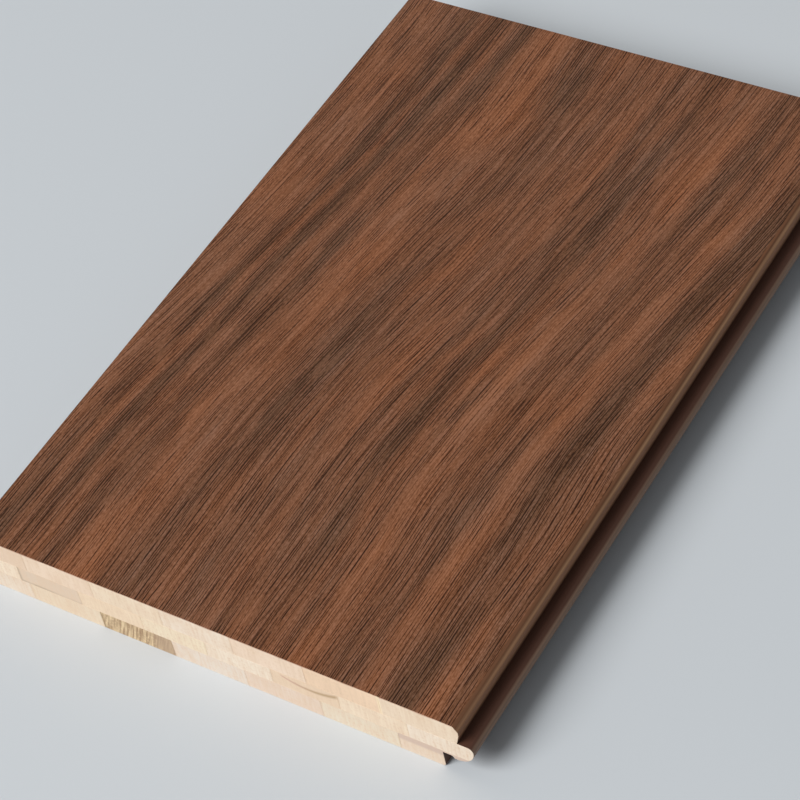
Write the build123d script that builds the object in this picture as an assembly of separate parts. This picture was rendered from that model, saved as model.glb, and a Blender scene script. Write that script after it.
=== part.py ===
"""A sawn length of click-lock bamboo floorboard.

Three layers of bamboo strips are pressed flat on one another. The two long edges are then milled
through the whole lay-up: a tongue on one, and the groove that takes the next board's tongue on the
other. The ends are square saw cuts. Sizes are in millimetres.

X runs across the board with the tongue at +X, Y runs along it, and Z is up from the underside.
"""

import math
import os

from build123d import *

# Finished size. The face width is measured from one upright joint face to the other.
face_width = 130.0
board_length = 200.0

# Layers, from the underside up to the face
lower_layer = 5.8
middle_layer = 5.0
upper_layer = 6.2

# Strips in each layer, and how far its first and last seams lie inside the joint faces of the groove
# and the tongue. The strips between those two seams are equally wide, and milling shapes the outer two.
lower_count = 7
lower_first = 14.6
lower_last = 16.4
middle_count = 8
middle_first = 12.2
middle_last = 13.4
upper_count = 7
upper_first = 15.4
upper_last = 19.5

# Bevel along the two upper long edges
bevel_width = 1.2
bevel_drop = 1.7

# Tongue: its top lies on the glue line under the upper layer, its nose is rounded, and its belly
# lets the board turn down into place until the lip of the groove snaps into the lock recess. The
# belly and the recess's roof lie under the glue line above the lower layer.
joint_land = 1.2
root_relief = 0.9
tongue_reach = 2.9
nose_radius = 1.4
belly_depth = 1.3
belly_flat = 0.3
recess_cover = 0.5
lock_angle = 50.0
recess_width = 2.3

# Play between a groove and the tongue that it takes, and the small easings of their corners
groove_play = 0.15
lock_play = 0.1
lip_gap = 0.3
mouth_ease = 0.4
lip_round = 0.5
underside_ease = 0.5

# Heights that both edges share
lower_top = lower_layer
middle_top = lower_top + middle_layer
thickness = middle_top + upper_layer
tongue_top = middle_top
nose_height = tongue_top - nose_radius
belly_height = lower_top - belly_depth
belly_radius = nose_height - belly_height
recess_top = lower_top - recess_cover

# Distances from the joint face, positive towards the tongue's nose
nose_centre = tongue_reach - nose_radius
belly_centre = tongue_reach - belly_radius
lock_foot = belly_centre - belly_flat
lock_head = lock_foot - (recess_top - belly_height) / math.tan(math.radians(lock_angle))
underside_edge = lock_head - recess_width
lip_end = underside_edge + lip_gap

# The groove's lip and the tongue's nose reach equally far from the middle of the board
groove_joint = -(face_width + tongue_reach + lip_end) / 2
tongue_joint = groove_joint + face_width


def tongue_edge():
    """The tongue's side of the section, from the face down to the underside."""
    upper = Polyline(
        (-bevel_width, thickness),
        (0, thickness - bevel_drop),
        (0, thickness - bevel_drop - joint_land),
        (-root_relief, tongue_top),
        (nose_centre, tongue_top),
    )
    nose = CenterArc((nose_centre, nose_height), nose_radius, 90, -90)
    belly = CenterArc((belly_centre, nose_height), belly_radius, 0, -90)
    lower = Polyline(
        (belly_centre, belly_height),
        (lock_foot, belly_height),
        (lock_head, recess_top),
        (underside_edge, recess_top),
        (underside_edge, underside_ease),
        (underside_edge - underside_ease, 0),
    )
    return [Pos(tongue_joint, 0) * edge for edge in (upper, nose, belly, lower)]


def groove_edge():
    """The groove's side of the section: the tongue's outline with play round it."""
    roof = tongue_top + groove_play
    floor = belly_height - groove_play
    lip_top = recess_top - groove_play
    lip_head = lock_head - lock_play
    corner = min(lip_round, (lip_head - lip_end) / 2)
    upper = Polyline(
        (bevel_width, thickness),
        (0, thickness - bevel_drop),
        (0, roof + mouth_ease),
        (mouth_ease, roof),
        (nose_centre, roof),
    )
    nose = CenterArc((nose_centre, nose_height), nose_radius + groove_play, 90, -90)
    belly = CenterArc((belly_centre, nose_height), belly_radius + groove_play, 0, -90)
    lip = Polyline(
        (belly_centre, floor),
        (lock_foot - lock_play, floor),
        (lip_head, lip_top),
        (lip_end + corner, lip_top),
    )
    lip_corner = CenterArc((lip_end + corner, lip_top - corner), corner, 90, 90)
    lip_face = Polyline(
        (lip_end, lip_top - corner),
        (lip_end, underside_ease),
        (lip_end + underside_ease, 0),
    )
    return [Pos(groove_joint, 0) * edge for edge in (upper, nose, belly, lip, lip_corner, lip_face)]


def board_section():
    """The whole milled section, with X across and Y up."""
    face = Line(
        (groove_joint + bevel_width, thickness),
        (tongue_joint - bevel_width, thickness),
    )
    underside = Line(
        (groove_joint + lip_end + underside_ease, 0),
        (tongue_joint + underside_edge - underside_ease, 0),
    )
    return make_face([*tongue_edge(), *groove_edge(), face, underside])


def between(section, left, right, bottom, top):
    """The part of a section that lies inside an upright rectangle."""
    window = Pos((left + right) / 2, (bottom + top) / 2) * Rectangle(right - left, top - bottom)
    return section & window


def layer_strips(section, bottom, top, count, first, last):
    """One layer's strips in section, from the groove to the tongue."""
    board = section.bounding_box()
    layer = between(section, board.min.X, board.max.X, bottom, top)
    left = layer.bounding_box().min.X
    right = layer.bounding_box().max.X
    width = (face_width - first - last) / (count - 2)
    seams = [groove_joint + first + width * number for number in range(count - 1)]
    sides = [left, *seams, right]
    return [between(layer, near, far, bottom, top) for near, far in zip(sides, sides[1:])]


def main():
    section = board_section()
    layers = {
        "lower_strip": (0, lower_top, lower_count, lower_first, lower_last),
        "middle_strip": (lower_top, middle_top, middle_count, middle_first, middle_last),
        "upper_strip": (middle_top, thickness, upper_count, upper_first, upper_last),
    }
    os.makedirs("parts", exist_ok=True)
    for name, layer in layers.items():
        for number, strip in enumerate(layer_strips(section, *layer), start=1):
            bar = extrude(Plane.XZ * strip, amount=board_length / 2, both=True)
            export_step(bar, f"parts/{name}_{number}.step")


main()
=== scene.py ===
import math

import bmesh
import bpy
from mathutils import Matrix, Vector


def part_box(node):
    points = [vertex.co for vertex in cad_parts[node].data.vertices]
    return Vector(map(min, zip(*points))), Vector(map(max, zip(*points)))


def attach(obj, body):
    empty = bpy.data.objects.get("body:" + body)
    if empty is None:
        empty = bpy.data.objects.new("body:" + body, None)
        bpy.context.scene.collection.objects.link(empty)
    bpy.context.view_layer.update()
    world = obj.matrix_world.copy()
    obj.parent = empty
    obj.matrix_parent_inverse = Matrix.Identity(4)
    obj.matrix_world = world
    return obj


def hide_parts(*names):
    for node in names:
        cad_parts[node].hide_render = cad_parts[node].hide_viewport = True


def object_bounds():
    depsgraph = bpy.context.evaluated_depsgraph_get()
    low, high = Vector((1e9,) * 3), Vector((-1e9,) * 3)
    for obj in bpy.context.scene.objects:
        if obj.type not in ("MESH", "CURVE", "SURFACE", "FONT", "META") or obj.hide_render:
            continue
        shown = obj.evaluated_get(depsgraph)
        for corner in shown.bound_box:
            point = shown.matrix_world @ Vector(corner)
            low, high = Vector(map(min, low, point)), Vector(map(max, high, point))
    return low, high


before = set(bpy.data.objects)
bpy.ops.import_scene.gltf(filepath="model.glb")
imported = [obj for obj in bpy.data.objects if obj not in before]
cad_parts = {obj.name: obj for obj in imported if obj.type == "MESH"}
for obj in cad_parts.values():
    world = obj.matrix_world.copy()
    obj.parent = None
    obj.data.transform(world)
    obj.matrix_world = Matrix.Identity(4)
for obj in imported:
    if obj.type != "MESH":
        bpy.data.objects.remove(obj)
solid_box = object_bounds()

# Lower layer
# Seven flat strips planed from split bamboo and pressed side by side, their fibres along the board.
# One was steamed to a caramel brown. A fine saw cut both ends square.

mm = 0.001
saw_break = 0.06 * mm
merge_distance = 0.001 * mm
flat_angle = math.radians(1)
smooth_angle = math.radians(35)
saw_cut_facing = 0.9
sawn_facing = 0.1


def sawn_strip(name):
    """A strip's piece: its solid's shape with the arrises of the two saw cuts just broken."""
    shape = bmesh.new()
    shape.from_mesh(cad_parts[name].data)
    bmesh.ops.remove_doubles(shape, verts=shape.verts, dist=merge_distance)
    bmesh.ops.dissolve_limit(shape, angle_limit=flat_angle, verts=shape.verts, edges=shape.edges)
    saw_cuts = [face for face in shape.faces if abs(face.normal.y) > saw_cut_facing]
    arrises = {edge for face in saw_cuts for edge in face.edges}
    bmesh.ops.bevel(shape, geom=list(arrises), offset=saw_break, offset_type="OFFSET",
                    affect="EDGES", segments=1, profile=0.5, material=-1, clamp_overlap=True)
    mesh = bpy.data.meshes.new(name + "_wood")
    shape.to_mesh(mesh)
    shape.free()
    mesh.shade_smooth()
    mesh.set_sharp_from_angle(angle=smooth_angle)
    for face in mesh.polygons:
        if abs(face.normal.y) > sawn_facing:
            face.use_smooth = False
    piece = bpy.data.objects.new(name + "_wood", mesh)
    bpy.context.scene.collection.objects.link(piece)
    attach(piece, "root")
    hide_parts(name)
    return piece


def linear(hex_colour):
    """The linear colour of an sRGB hex value."""
    shares = [int(hex_colour[start:start + 2], 16) / 255 for start in (1, 3, 5)]
    return (*[s / 12.92 if s <= 0.04045 else ((s + 0.055) / 1.055) ** 2.4 for s in shares], 1.0)


def add(owner, kind, inputs=None, **settings):
    """Add a node with its settings, and set each named input or link it to another node or socket.

    Inputs 6 and 7 of a colour Mix are the colours that it goes from and to.
    """
    tree = owner.node_tree
    node = tree.nodes.new("ShaderNode" + kind)
    for name, value in settings.items():
        setattr(node, name, value)
    for name, value in (inputs or {}).items():
        if isinstance(value, bpy.types.Node):
            value = next(output for output in value.outputs if output.enabled)
        if isinstance(value, bpy.types.NodeSocket):
            tree.links.new(value, node.inputs[name])
        else:
            node.inputs[name].default_value = value
    return node


def new_material(name):
    """An empty material, and the place on the board in millimetres as a vector."""
    material = bpy.data.materials.new(name)
    material.use_nodes = True
    material.node_tree.nodes.clear()
    place = add(material, "TexCoord").outputs["Object"]
    return material, add(material, "VectorMath", {0: place, 1: (mm, mm, mm)}, operation="DIVIDE")


bundle_spacing = 0.9
bundle_length = 70.0
bundle_core = 0.15
bundle_rim = 0.45
bundle_share = 0.3
saw_mark_width = 0.5
saw_mark_height = 6.0
saw_mark_faint = 0.38
saw_mark_full = 0.66
fibre_length = 30.0
mottle_size = 6.0
mottle_length = 60.0
mottle_share = 0.3
noise_low = 0.3
noise_high = 0.7
node_band = 3.5
node_wander = 3.0
node_share = 0.4
node_step = 61.0
node_span = 170.0
glue_width = 0.2
glue_share = 0.28
beyond_seams = 100.0
strip_shift = Vector((37.0, 91.0, 53.0))


# Raw bamboo: pale and fine. On a sawn end the fibre bundles show as small dots and the saw as faint
# upright streaks. Along a strip they run as lines, with one darker node band across it.
def raw_bamboo(name, number, tone, glued, saw_tone="#dcbea0", saw_share=0.35, saw_lean=0.0, mark=None):
    material, place = new_material("raw_bamboo_" + name)
    shifted = add(material, "VectorMath", {0: place, 1: strip_shift * number}, operation="ADD")
    bundle_size = (bundle_spacing, bundle_length, bundle_spacing)
    spaced = add(material, "VectorMath", {0: shifted, 1: bundle_size}, operation="DIVIDE")
    bundles = add(material, "TexVoronoi", {"Vector": spaced, "Scale": 1.0, "Randomness": 1.0})
    dots = add(material, "MapRange", {0: bundles, "From Min": bundle_core, "From Max": bundle_rim,
               "To Min": bundle_share, "To Max": 0.0})
    leaned = add(material, "VectorRotate", {"Vector": shifted, "Angle": saw_lean}, rotation_type="Y_AXIS")
    saw_size = (saw_mark_width, fibre_length, saw_mark_height)
    upright = add(material, "VectorMath", {0: leaned, 1: saw_size}, operation="DIVIDE")
    saw = add(material, "TexNoise", {"Vector": upright, "Scale": 1.0, "Detail": 2.0})
    saw = add(material, "MapRange", {0: saw, "From Min": saw_mark_faint, "From Max": saw_mark_full,
              "To Min": 0.0, "To Max": saw_share})
    slow = add(material, "VectorMath", {0: shifted, 1: (mottle_size, mottle_length, mottle_size)},
               operation="DIVIDE")
    mottle = add(material, "TexNoise", {"Vector": slow, "Scale": 1.0, "Detail": 2.0})
    shade = add(material, "MapRange", {0: mottle, "From Min": noise_low, "From Max": noise_high,
                "To Min": 0.0, "To Max": mottle_share})
    depth = add(material, "Math", {0: dots, 1: saw}, operation="ADD")
    total = add(material, "Math", {0: depth, 1: shade}, operation="ADD", use_clamp=True)
    colour = add(material, "Mix", {0: total, 6: linear(tone), 7: linear(saw_tone)}, data_type="RGBA")

    position = add(material, "SeparateXYZ", {0: place})
    node_place = (node_step * number) % node_span - node_span / 2
    along = add(material, "Math", {0: position.outputs["Y"], 1: node_place}, operation="SUBTRACT")
    along = add(material, "Math", {0: mottle, 1: node_wander, 2: along}, operation="MULTIPLY_ADD")
    along = add(material, "Math", {0: along}, operation="ABSOLUTE")
    node = add(material, "MapRange", {0: along, "From Min": 0.2 * node_band, "From Max": 0.6 * node_band,
               "To Min": node_share, "To Max": 0.0})
    colour = add(material, "Mix", {0: node, 6: colour, 7: linear("#b98f63")}, data_type="RGBA")

    nearest = beyond_seams
    for axis, border in glued:
        gap = add(material, "Math", {0: position.outputs[axis], 1: border / mm}, operation="SUBTRACT")
        gap = add(material, "Math", {0: gap}, operation="ABSOLUTE")
        nearest = add(material, "Math", {0: gap, 1: nearest}, operation="MINIMUM")
    line = add(material, "MapRange", {0: nearest, "From Min": 0.4 * glue_width, "From Max": glue_width,
               "To Min": glue_share, "To Max": 0.0})
    line = add(material, "Math", {0: line, 1: mottle}, operation="MULTIPLY")
    colour = add(material, "Mix", {0: line, 6: colour, 7: linear("#c2a077")}, data_type="RGBA")
    if mark:
        low, high = [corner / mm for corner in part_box(name)]
        colour = mark(material, position, mottle, colour, low, high)
    bump = add(material, "Bump", {"Height": depth, "Strength": 0.2, "Distance": 0.03 * mm}, invert=True)
    shader = add(material, "BsdfPrincipled", {"Base Color": colour, "Roughness": 0.62, "IOR": 1.5,
                 "Normal": bump})
    add(material, "OutputMaterial", {"Surface": shader})
    return material


def steamed_end(material, position, mottle, colour, low, high):
    """The caramel strip: darker and smoother towards the tongue, with a dark line at its other side."""
    smooth_start = high.x - 6.74
    smooth_end = high.x - 3.24
    smooth = add(material, "MapRange", {0: position.outputs["X"], "From Min": smooth_start,
                 "From Max": smooth_end, "To Min": 0.0, "To Max": 0.75})
    colour = add(material, "Mix", {0: smooth, 6: colour, 7: linear("#b0947a")}, data_type="RGBA")
    line_core = low.x + 0.26
    line_end = low.x + 0.76
    line = add(material, "MapRange", {0: position.outputs["X"], "From Min": line_core,
               "From Max": line_end, "To Min": 0.6, "To Max": 0.0})
    return add(material, "Mix", {0: line, 6: colour, 7: linear("#8f7350")}, data_type="RGBA")


def pink_top(material, position, mottle, colour, low, high):
    """The last strip: a little pinker along its top, where its outer skin was."""
    pink_start = high.z - 2.3
    pink_full = high.z - 1.5
    pink = add(material, "MapRange", {0: position.outputs["Z"], "From Min": pink_start,
               "From Max": pink_full, "To Min": 0.0, "To Max": 0.8})
    return add(material, "Mix", {0: pink, 6: colour, 7: linear("#cdb3a2")}, data_type="RGBA")


def side_seams(name, number, count):
    """The glued sides of a strip. The two outer strips of a layer have only one."""
    low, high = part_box(name)
    seams = []
    if number > 1:
        seams.append(("X", low.x))
    if number < count:
        seams.append(("X", high.x))
    return seams


lower_tones = ["#e6d6c3", "#e5d2b8", "#987757", "#e4d6c7", "#e4cfbd", "#e6d9c3", "#e6d3bf"]
lower_count = len(lower_tones)
lower_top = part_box("lower_strip_1")[1].z
steamed_strip = 3
steamed_saw = {"saw_tone": "#dfc69e", "saw_share": 0.75, "saw_lean": math.radians(-18)}
lower_looks = {steamed_strip: {"mark": steamed_end, **steamed_saw}, lower_count: {"mark": pink_top}}
strips = {}
for number, tone in enumerate(lower_tones, start=1):
    name = f"lower_strip_{number}"
    strips[name] = sawn_strip(name)
    glued = [("Z", lower_top), *side_seams(name, number, lower_count)]
    wood = raw_bamboo(name, number, tone, glued, **lower_looks.get(number, {}))
    strips[name].data.materials.append(wood)

# Middle layer
# Eight strips laid over the seams of the layer below. The last carries the milled tongue, the second is
# greyer with dark glue under it, and the sixth kept a hollow of its round inner wall that glue filled.

middle_pattern_start = 10
grey_strip = 2
cupped_strip = 6


def dark_glue(material, position, mottle, colour, low, high):
    """A dark glue line under the grey strip and up its side, broken and fading towards the tongue."""
    under = add(material, "MapRange", {0: position.outputs["Z"], "From Min": low.z + 0.2,
                "From Max": low.z + 0.9, "To Min": 1.0, "To Max": 0.0})
    fade = add(material, "MapRange", {0: position.outputs["X"], "From Min": low.x + 0.76,
               "From Max": high.x - 1.64, "To Min": 0.9, "To Max": 0.35})
    broken = add(material, "MapRange", {0: mottle, "From Min": 0.35, "From Max": 0.55, "To Min": 0.2,
                 "To Max": 1.0})
    under = add(material, "Math", {0: under, 1: fade}, operation="MULTIPLY")
    under = add(material, "Math", {0: under, 1: broken}, operation="MULTIPLY")
    side = add(material, "MapRange", {0: position.outputs["X"], "From Min": low.x + 0.26,
               "From Max": low.x + 0.86, "To Min": 0.55, "To Max": 0.0})
    line = add(material, "Math", {0: under, 1: side}, operation="MAXIMUM")
    return add(material, "Mix", {0: line, 6: colour, 7: linear("#ab957c")}, data_type="RGBA")


def cupped_line(material, position, mottle, colour, low, high):
    """The glue in the hollow: a cup-shaped line, thin and reddish at one side, thick and brown beyond."""
    cup_start = low.x + 2.56
    cup_foot = low.z + 2.7
    cup_rise = 1.6
    thin_line = 0.45
    thick_line = 0.95
    across = add(material, "MapRange", {0: position.outputs["X"], "From Min": cup_start,
                 "From Max": high.x, "To Min": -1.0, "To Max": 1.0}, clamp=False)
    curve = add(material, "Math", {0: across, 1: across}, operation="MULTIPLY")
    curve = add(material, "Math", {0: curve, 1: cup_rise, 2: cup_foot}, operation="MULTIPLY_ADD")
    gap = add(material, "Math", {0: position.outputs["Z"], 1: curve}, operation="SUBTRACT")
    gap = add(material, "Math", {0: gap}, operation="ABSOLUTE")
    width = add(material, "MapRange", {0: across, "From Min": -1.0, "To Min": thin_line,
                "To Max": thick_line})
    line = add(material, "MapRange", {0: gap, "From Max": width, "To Min": 0.85, "To Max": 0.0})
    reach = add(material, "Math", {0: across}, operation="ABSOLUTE")
    ends = add(material, "MapRange", {0: reach, "From Min": 0.9, "From Max": 1.05, "To Min": 1.0,
               "To Max": 0.0})
    line = add(material, "Math", {0: line, 1: ends}, operation="MULTIPLY")
    browning = add(material, "MapRange", {0: across, "From Min": -0.7, "From Max": 0.2})
    glue = add(material, "Mix", {0: browning, 6: linear("#c79783"), 7: linear("#ab8b62")},
               data_type="RGBA")
    return add(material, "Mix", {0: line, 6: colour, 7: glue}, data_type="RGBA")


middle_tones = ["#f0dec6", "#dbc5ae", "#ecd5b8", "#eedec2", "#f0e1cd", "#e7ceb2", "#efdbc1", "#f1e2cf"]
middle_count = len(middle_tones)
middle_marks = {grey_strip: dark_glue, cupped_strip: cupped_line}
middle_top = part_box("middle_strip_1")[1].z
for number, tone in enumerate(middle_tones, start=1):
    name = f"middle_strip_{number}"
    strips[name] = sawn_strip(name)
    glued = [("Z", lower_top), ("Z", middle_top), *side_seams(name, number, middle_count)]
    wood = raw_bamboo(name, number + middle_pattern_start, tone, glued, mark=middle_marks.get(number))
    strips[name].data.materials.append(wood)

# Upper layer
# Seven bamboo strips, pressed over the seams of the middle layer and sanded level, that carry the face.
# Their top is one continuous lacquered surface, so no seam shows there. They are raw at the saw cuts.

upper_pattern_start = 20
rim_unevenness = 0.5
upper_tones = ["#e3c9b0", "#ebd3bb", "#ecd8be", "#eddcc8", "#edd5be", "#eecfb0", "#ecd7bd"]
upper_count = len(upper_tones)
clear_seam_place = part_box(f"upper_strip_{upper_count}")[0].x


def stained_rim(material, position, mottle, colour, low, high):
    """Stain that soaked into the saw cut from the face, as a thin uneven rim."""
    height = add(material, "Math", {0: mottle, 1: rim_unevenness, 2: position.outputs["Z"]},
                 operation="MULTIPLY_ADD")
    rim = add(material, "MapRange", {0: height, "From Min": high.z - 0.05, "From Max": high.z + 0.25,
              "To Min": 0.0, "To Max": 0.7})
    return add(material, "Mix", {0: rim, 6: colour, 7: linear("#a8775a")}, data_type="RGBA")


def clear_seam(material, position, mottle, colour, low, high):
    """The rim again, and a clear resin line, brighter than the wood, in the seam of the last two strips."""
    colour = stained_rim(material, position, mottle, colour, low, high)
    gap = add(material, "Math", {0: position.outputs["X"], 1: clear_seam_place / mm},
              operation="SUBTRACT")
    gap = add(material, "Math", {0: gap}, operation="ABSOLUTE")
    line = add(material, "MapRange", {0: gap, "From Min": 0.25, "From Max": 0.5, "To Min": 0.7,
               "To Max": 0.0})
    return add(material, "Mix", {0: line, 6: colour, 7: linear("#f8e2bf")}, data_type="RGBA")


for number, tone in enumerate(upper_tones, start=1):
    name = f"upper_strip_{number}"
    strips[name] = sawn_strip(name)
    glued = [("Z", middle_top), *side_seams(name, number, upper_count)]
    mark = clear_seam if number >= upper_count - 1 else stained_rim
    wood = raw_bamboo(name, number + upper_pattern_start, tone, glued, mark=mark)
    strips[name].data.materials.append(wood)

# Milled edges
# The tongue and the groove were cut along the pressed lay-up, then sealed with a thin brown stain that
# keeps damp out of the joint. Its colour is darker from the tongue's root down, which is painted shade, and
# lighter on the nose, which is a painted highlight.

stain_streak = 0.5
stain_length = 40.0
tongue_reach = 2.9
edge_reach = solid_box[1].x / mm
glue_line = middle_top / mm
# Where the painted shade of the tongue's root starts and where it is full
root_shade_start = glue_line + 2.2
root_shade_full = glue_line + 0.4
# Where the painted highlight on the tongue's nose starts and where it is full
nose_highlight_start = edge_reach - 0.59
nose_highlight_full = edge_reach - 0.24
underside_height = 0.01 * mm

# Brown edge sealer on planed bamboo: dull and reddish, with faint streaks along the cut. It is darker from
# the tongue's root down, as painted shade, and lighter on the nose, as a painted highlight.
edge_sealer, place = new_material("brown_edge_sealer")
streaked = add(edge_sealer, "VectorMath", {0: place, 1: (stain_streak, stain_length, stain_streak)},
               operation="DIVIDE")
streaks = add(edge_sealer, "TexNoise", {"Vector": streaked, "Scale": 1.0, "Detail": 3.0})
position = add(edge_sealer, "SeparateXYZ", {0: place})
# Painted shade: from a little above the tongue's top downwards the stain turns a dark brown.
root = add(edge_sealer, "MapRange", {0: position.outputs["Z"], "From Min": root_shade_start,
           "From Max": root_shade_full})
stain = add(edge_sealer, "Mix", {0: root, 6: linear("#8e6448"), 7: linear("#543528")}, data_type="RGBA")
# Painted highlight: the outermost part of the tongue's nose is made a lighter brown.
reach = add(edge_sealer, "Math", {0: position.outputs["X"]}, operation="ABSOLUTE")
nose_highlight = add(edge_sealer, "MapRange", {0: reach, "From Min": nose_highlight_start, "From Max": nose_highlight_full})
stain = add(edge_sealer, "Mix", {0: nose_highlight, 6: stain, 7: linear("#866a56")}, data_type="RGBA")
dark = add(edge_sealer, "MapRange", {0: streaks, "From Min": noise_low, "From Max": noise_high,
           "To Min": 0.0, "To Max": 0.35})
stain = add(edge_sealer, "Mix", {0: dark, 6: stain, 7: linear("#3a261b")}, data_type="RGBA")
relief = add(edge_sealer, "Bump", {"Height": streaks, "Strength": 0.2, "Distance": 0.05 * mm})
shader = add(edge_sealer, "BsdfPrincipled", {"Base Color": stain, "Roughness": 0.55,
             "Specular IOR Level": 0.25, "Normal": relief})
add(edge_sealer, "OutputMaterial", {"Surface": shader})

layer_counts = {"lower_strip": lower_count, "middle_strip": middle_count, "upper_strip": upper_count}
for layer, count in layer_counts.items():
    for number in (1, count):
        mesh = strips[f"{layer}_{number}"].data
        mesh.materials.append(edge_sealer)
        for face in mesh.polygons:
            sawn = abs(face.normal.y) > sawn_facing
            underside = face.center.z < underside_height
            if not sawn and not underside:
                face.material_index = mesh.materials.find(edge_sealer.name)

# Bevels
# The two upper edges of the face were planed off at a slant, through the upper strips, so that no sharp
# edge shows where two boards meet. They were stained brown before the lacquer went on.

bevel_width = 1.2
bevel_drop = 1.7
bevel_facing = 0.3
bevel_streak = 0.6
bevel_streak_length = 25.0
board_top = solid_box[1].z / mm
near_end = solid_box[0].y / mm
front_fade_full = near_end + 10.0
front_fade_end = near_end + 60.0
# Stops down the bevel: brown stain, and last a light one that is a painted sheen
bevel_stains_and_sheen = ((0.2, "#93603f"), (0.44, "#70462a"), (0.74, "#ae8460"))

# Brown bevel stain under lacquer: dark below the face, then a light line, which is a painted sheen where the
# bevel catches light. Near the sawn end in front both are partly blended into one brown.
bevel_stain_and_sheen, place = new_material("brown_bevel_stain_and_sheen")
position = add(bevel_stain_and_sheen, "SeparateXYZ", {0: place})
down = add(bevel_stain_and_sheen, "MapRange", {0: position.outputs["Z"], "From Min": board_top,
           "From Max": board_top - bevel_drop})
streaked = add(bevel_stain_and_sheen, "VectorMath", {0: place, 1: (bevel_streak, bevel_streak_length, bevel_streak)},
               operation="DIVIDE")
streaks = add(bevel_stain_and_sheen, "TexNoise", {"Vector": streaked, "Scale": 1.0, "Detail": 2.0})
stain = add(bevel_stain_and_sheen, "ValToRGB", {0: down})
stain.color_ramp.elements[0].color = linear("#93603f")
stain.color_ramp.elements[1].color = linear("#8e684c")
for share, colour in bevel_stains_and_sheen:
    stain.color_ramp.elements.new(share).color = linear(colour)
front_fade = add(bevel_stain_and_sheen, "MapRange", {0: position.outputs["Y"], "From Min": front_fade_full,
           "From Max": front_fade_end, "To Min": 0.35, "To Max": 0.0})
stain = add(bevel_stain_and_sheen, "Mix", {0: front_fade, 6: stain, 7: linear("#986a4c")}, data_type="RGBA")
dark = add(bevel_stain_and_sheen, "MapRange", {0: streaks, "From Min": 0.4, "From Max": noise_high, "To Min": 0.0,
           "To Max": 0.35})
stain = add(bevel_stain_and_sheen, "Mix", {0: dark, 6: stain, 7: linear("#5a3d2b")}, data_type="RGBA")
shader = add(bevel_stain_and_sheen, "BsdfPrincipled", {"Base Color": stain, "Roughness": 0.5,
             "Specular IOR Level": 0.2})
add(bevel_stain_and_sheen, "OutputMaterial", {"Surface": shader})

for number in (1, upper_count):
    mesh = strips[f"upper_strip_{number}"].data
    mesh.materials.append(bevel_stain_and_sheen)
    for face in mesh.polygons:
        if face.normal.z > bevel_facing and abs(face.normal.y) < sawn_facing:
            face.material_index = mesh.materials.find(bevel_stain_and_sheen.name)

# Face
# The top of the upper strips carries a walnut figure under satin lacquer. It runs along the board and over
# the seams of the strips, and leans towards the tongue on its way to the far end.

face_facing = 0.9
lean_width = 14.5
lean_start_slope = 0.35
lean_start = -62.0
lean_end_slope = 0.40
lean_end = 88.0
wander = 2.5
wander_width = 35.0
wander_length = 80.0
first_band = -80.0
last_band = 66.0
face_edge = edge_reach - tongue_reach - bevel_width
rim_width = 0.84

# Satin lacquer over a walnut figure: soft bands that go from orange brown to a dull grey brown, and fine
# dark grain lines that crowd together in the dark ones. The lines are drawn a little wide so that they show.
lacquer, place = new_material("satin_walnut_lacquer")
position = add(lacquer, "SeparateXYZ", {0: place})
x = position.outputs["X"]
y = position.outputs["Y"]
start = add(lacquer, "Math", {0: x, 1: lean_start_slope, 2: lean_start}, operation="MULTIPLY_ADD")
end = add(lacquer, "Math", {0: x, 1: lean_end_slope, 2: lean_end}, operation="MULTIPLY_ADD")
lean = add(lacquer, "MapRange", {0: y, "From Min": start, "From Max": end, "To Min": 0.0,
           "To Max": lean_width}, interpolation_type="SMOOTHSTEP")
flat = add(lacquer, "CombineXYZ", {"X": x, "Y": y})
slow = add(lacquer, "VectorMath", {0: flat, 1: (wander_width, wander_length, 1.0)}, operation="DIVIDE")
drift = add(lacquer, "TexNoise", {"Vector": slow, "Scale": 1.0, "Detail": 1.0})
drift = add(lacquer, "MapRange", {0: drift, "To Min": -wander, "To Max": wander})
upright = add(lacquer, "Math", {0: x, 1: lean}, operation="SUBTRACT")
grain = add(lacquer, "Math", {0: upright, 1: drift}, operation="ADD")
figure = add(lacquer, "CombineXYZ", {"X": grain, "Y": y})

# What varies along the figure: the width and length of its patches in millimetres, and its noise's detail
variations = {
    "fade": (16.0, 55.0, 1.0),
    "ragged": (2.2, 35.0, 2.0),
    "streak": (1.2, 40.0, 2.0),
    "patch": (4.0, 20.0, 2.0),
    "hue": (12.0, 40.0, 4.0),
    "fleck": (0.3, 1.0, 1.0),
}
varied = {}
for name, (width, length, detail) in variations.items():
    spread = add(lacquer, "VectorMath", {0: figure, 1: (width, length, 1.0)}, operation="DIVIDE")
    varied[name] = add(lacquer, "TexNoise", {"Vector": spread, "Scale": 1.0, "Detail": detail})

# Bands of the figure: how far each lies from the middle of the board at its near end, and its tone
bands = [(-80, 0.45), (-70, 0.62), (-62, 0.60), (-57.6, 0.18), (-54.6, 0.60), (-50.9, 0.06), (-47, 0.55),
         (-41.5, 0.22), (-38, 0.60), (-32, 0.72), (-26, 0.52), (-18.9, 0.36), (-12, 0.52), (-5, 0.50),
         (2, 0.60), (5.3, 0.36), (9.4, 0.56), (14.4, 0.16), (18.5, 0.55), (21.5, 0.50), (26.1, 0.75),
         (33.6, 0.34), (37, 0.48), (39.8, 0.36), (44.4, 0.72), (48.5, 0.48), (52.8, 0.06), (57, 0.48),
         (59.8, 0.70), (63.5, 0.32), (66, 0.5)]
middle_tone = 0.5
ramp_place = add(lacquer, "MapRange", {0: grain, "From Min": first_band, "From Max": last_band})
ramp = add(lacquer, "ValToRGB", {0: ramp_place})
stops = ramp.color_ramp.elements
while len(stops) > 1:
    stops.remove(stops[-1])
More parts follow.
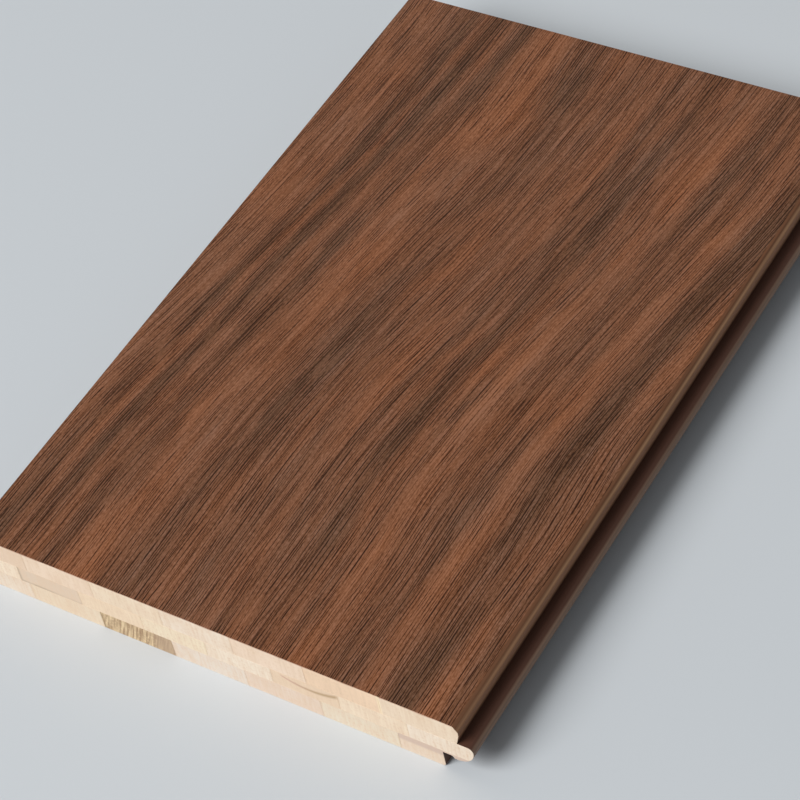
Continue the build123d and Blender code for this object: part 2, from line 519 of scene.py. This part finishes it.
for index, (band, tone) in enumerate(bands):
    share = (band - first_band) / (last_band - first_band)
    stop = stops[0] if index == 0 else stops.new(share)
    stop.position = share
    stop.color = (tone, tone, tone, 1.0)
ramp.color_ramp.interpolation = "CARDINAL"
fade = add(lacquer, "MapRange", {0: varied["fade"], "From Min": noise_low, "From Max": noise_high,
           "To Min": 0.4, "To Max": 1.3})
band_tone = add(lacquer, "Math", {0: ramp, 1: middle_tone}, operation="SUBTRACT")
band_tone = add(lacquer, "Math", {0: band_tone, 1: fade}, operation="MULTIPLY")

# Broad dark clouds along the lean: the middle of each, its half width and half length, and its depth
clouds = [((10.4, 45.0), (7.0, 44.0), -0.26), ((-16.6, -27.0), (9.0, 42.0), -0.26),
          ((-20.0, 82.0), (11.0, 18.0), -0.24), ((13.3, -33.0), (4.5, 38.0), -0.18),
          ((-51.7, 30.0), (4.0, 30.0), -0.18), ((-58.4, 68.0), (8.0, 50.0), -0.14),
          ((49.0, 50.0), (4.0, 52.0), -0.18), ((59.3, -42.0), (3.5, 55.0), -0.14)]
cloud_core = 0.1
cloud_tone = 0.0
for middle, half_size, depth in clouds:
    away = add(lacquer, "VectorMath", {0: figure, 1: (*middle, 0.0)}, operation="SUBTRACT")
    away = add(lacquer, "VectorMath", {0: away, 1: (*half_size, 1.0)}, operation="DIVIDE")
    away = add(lacquer, "VectorMath", {0: away}, operation="LENGTH")
    cloud = add(lacquer, "MapRange", {0: away, "From Min": cloud_core, "To Min": depth, "To Max": 0.0},
                interpolation_type="SMOOTHSTEP")
    cloud_tone = add(lacquer, "Math", {0: cloud, 1: cloud_tone}, operation="ADD")
ragged = add(lacquer, "MapRange", {0: varied["ragged"], "From Min": noise_low, "From Max": noise_high,
             "To Min": 0.2, "To Max": 1.8})
cloud_tone = add(lacquer, "Math", {0: cloud_tone, 1: ragged}, operation="MULTIPLY")
cloud_weight = 0.85
broad = add(lacquer, "Math", {0: cloud_tone, 1: cloud_weight, 2: band_tone}, operation="MULTIPLY_ADD")

# How closely the grain lines crowd: in patches, and more where the figure is dark
crowd = -0.25
for pattern, weight in [(varied["patch"], 1.4), (cloud_tone, -1.5), (band_tone, -1.0)]:
    crowd = add(lacquer, "Math", {0: pattern, 1: weight, 2: crowd}, operation="MULTIPLY_ADD")
crowd.use_clamp = True
strength = add(lacquer, "MapRange", {0: crowd, "To Min": 0.22, "To Max": 1.1})

# Fine grain lines: two sets with their spacing and half width, and the length over which a line starts
# and ends. The lines of a set wander together.
grain_lines = [(0.62, 0.105, 14.0), (0.97, 0.13, 10.0)]
line_core = 0.3
sway_share = 1.4
sway_spread = 3.0
break_width = 0.8
lines = 0.0
for spacing, half_width, length in grain_lines:
    sway_size = (sway_spread * spacing, sway_spread * length, 1.0)
    swaying = add(lacquer, "VectorMath", {0: figure, 1: sway_size}, operation="DIVIDE")
    sway = add(lacquer, "TexNoise", {"Vector": swaying, "Scale": 1.0, "Detail": 1.0})
    swayed = add(lacquer, "Math", {0: sway, 1: sway_share * spacing, 2: grain}, operation="MULTIPLY_ADD")
    away = add(lacquer, "Math", {0: swayed, 1: spacing / 2}, operation="PINGPONG")
    line = add(lacquer, "MapRange", {0: away, "From Min": line_core * half_width, "From Max": half_width,
               "To Min": 1.0, "To Max": 0.0})
    breaking = add(lacquer, "VectorMath", {0: figure, 1: (break_width * spacing, length, 1.0)},
                   operation="DIVIDE")
    breaks = add(lacquer, "TexNoise", {"Vector": breaking, "Scale": 1.0, "Detail": 1.0})
    breaks = add(lacquer, "MapRange", {0: breaks, "From Min": 0.42, "From Max": 0.56})
    line = add(lacquer, "Math", {0: line, 1: breaks}, operation="MULTIPLY")
    lines = add(lacquer, "Math", {0: line, 1: lines}, operation="MAXIMUM")
lines = add(lacquer, "Math", {0: lines, 1: strength}, operation="MULTIPLY")

# Tone: what each pattern adds to it. Streaks and flecks lie round a half, so it starts near nought.
rim = add(lacquer, "MapRange", {0: x, "From Min": face_edge - rim_width, "From Max": face_edge})
tone = 0.01
for pattern, weight in [(broad, 0.36), (varied["streak"], 0.7), (varied["fleck"], 0.95),
                        (strength, -0.1), (lines, -1.7), (rim, -0.14)]:
    tone = add(lacquer, "Math", {0: pattern, 1: weight, 2: tone}, operation="MULTIPLY_ADD")
walnut_browns = ((0.25, "#542c15"), (0.5, "#744930"), (0.75, "#895a42"))
walnut = add(lacquer, "ValToRGB", {0: tone})
walnut.color_ramp.elements[0].color = linear("#301504")
walnut.color_ramp.elements[1].color = linear("#9f6e57")
for share, colour in walnut_browns:
    walnut.color_ramp.elements.new(share).color = linear(colour)

# Hue: light stretches and the lines themselves are warmer, and crowded dark stretches are duller
hue = -0.15
for pattern, weight in [(varied["hue"], 1.5), (broad, 0.85), (crowd, -0.3), (lines, 0.6)]:
    hue = add(lacquer, "Math", {0: pattern, 1: weight, 2: hue}, operation="MULTIPLY_ADD")
tint = add(lacquer, "Mix", {0: hue, 6: linear("#dff1fa"), 7: linear("#fff3da")}, data_type="RGBA")
walnut = add(lacquer, "Mix", {0: 1.0, 6: walnut, 7: tint}, data_type="RGBA", blend_type="MULTIPLY")
relief = add(lacquer, "Bump", {"Height": lines, "Strength": 0.2, "Distance": 0.05 * mm}, invert=True)
shader = add(lacquer, "BsdfPrincipled", {"Base Color": walnut, "Roughness": 0.5,
             "Specular IOR Level": 0.15, "Normal": relief})
add(lacquer, "OutputMaterial", {"Surface": shader})

for number in range(1, upper_count + 1):
    mesh = strips[f"upper_strip_{number}"].data
    mesh.materials.append(lacquer)
    for face in mesh.polygons:
        if face.normal.z > face_facing and abs(face.normal.y) < sawn_facing:
            face.material_index = mesh.materials.find(lacquer.name)

# Studio
# A plain pale floor, one large soft lamp in front on the left, and even light all round. Far off, the
# floor goes over into a pale backdrop, which only the camera and reflections see.

floor_size = 12.0
haze_start = 500.0
haze_full = 2500.0
backdrop_tone = "#c6cbcf"


def seen_ray(owner):
    """One for rays that show the backdrop, straight or reflected, and nought for those of diffuse light."""
    path = add(owner, "LightPath")
    seen = add(owner, "Math", {0: path.outputs["Is Camera Ray"], 1: path.outputs["Is Glossy Ray"]},
               operation="ADD")
    return add(owner, "Math", {0: seen, 1: path.outputs["Is Transmission Ray"]}, operation="ADD",
               use_clamp=True)


floor_shape = bmesh.new()
bmesh.ops.create_grid(floor_shape, x_segments=1, y_segments=1, size=floor_size / 2)
floor_mesh = bpy.data.meshes.new("floor")
floor_shape.to_mesh(floor_mesh)
floor_shape.free()
floor = bpy.data.objects.new("floor", floor_mesh)
bpy.context.scene.collection.objects.link(floor)

# Pale floor paint: matt and even, so that only the board's shadow shows on it.
floor_paint, place = new_material("pale_floor_paint")
paint = add(floor_paint, "BsdfPrincipled", {"Base Color": linear("#cfd4d8"), "Roughness": 0.8})
distance = add(floor_paint, "VectorMath", {0: place}, operation="LENGTH")
far = add(floor_paint, "MapRange", {0: distance, "From Min": haze_start, "From Max": haze_full},
          interpolation_type="SMOOTHSTEP")
seen = add(floor_paint, "Math", {0: far, 1: seen_ray(floor_paint)}, operation="MULTIPLY")
haze = add(floor_paint, "Emission", {"Color": linear(backdrop_tone), "Strength": 1.0})
shader = add(floor_paint, "MixShader", {0: seen, 1: paint, 2: haze})
add(floor_paint, "OutputMaterial", {"Surface": shader})
floor_mesh.materials.append(floor_paint)

lamp_place = Vector((-1.15, -2.43, 2.56))
lamp = bpy.data.lights.new("soft_lamp", "AREA")
lamp.shape = "DISK"
lamp.size = 2.4
lamp.energy = 136.0
lamp_object = bpy.data.objects.new("soft_lamp", lamp)
lamp_object.location = lamp_place
lamp_object.rotation_euler = (-lamp_place).to_track_quat("-Z", "Y").to_euler()
bpy.context.scene.collection.objects.link(lamp_object)

world = bpy.data.worlds.new("studio")
world.use_nodes = True
world.node_tree.nodes.clear()
even_light = add(world, "Background", {"Color": linear("#f2f4f6"), "Strength": 0.26})
backdrop = add(world, "Background", {"Color": linear(backdrop_tone), "Strength": 1.0})
sky = add(world, "MixShader", {0: seen_ray(world), 1: even_light, 2: backdrop})
add(world, "OutputWorld", {"Surface": sky})
bpy.context.scene.world = world

# Camera
# It stands in front on the tongue's side and looks down on the face, turned a little to the right.
# Its lens is long, so the board's edges draw together only slightly.

camera_place = Vector((288.19, -353.52, 481.97)) * mm
camera_target = Vector((8.15, -25.84, 17.0)) * mm
camera_roll = math.radians(-13.2)
camera = bpy.data.cameras.new("camera")
camera.sensor_width = 36.0
camera.lens = 123.89
camera_object = bpy.data.objects.new("camera", camera)
facing = (camera_target - camera_place).to_track_quat("-Z", "Y").to_matrix()
camera_object.matrix_world = Matrix.LocRotScale(
    camera_place, facing @ Matrix.Rotation(camera_roll, 3, "Z"), None)
bpy.context.scene.collection.objects.link(camera_object)
bpy.context.scene.camera = camera_object

bpy.context.scene.view_settings.view_transform = "Standard"
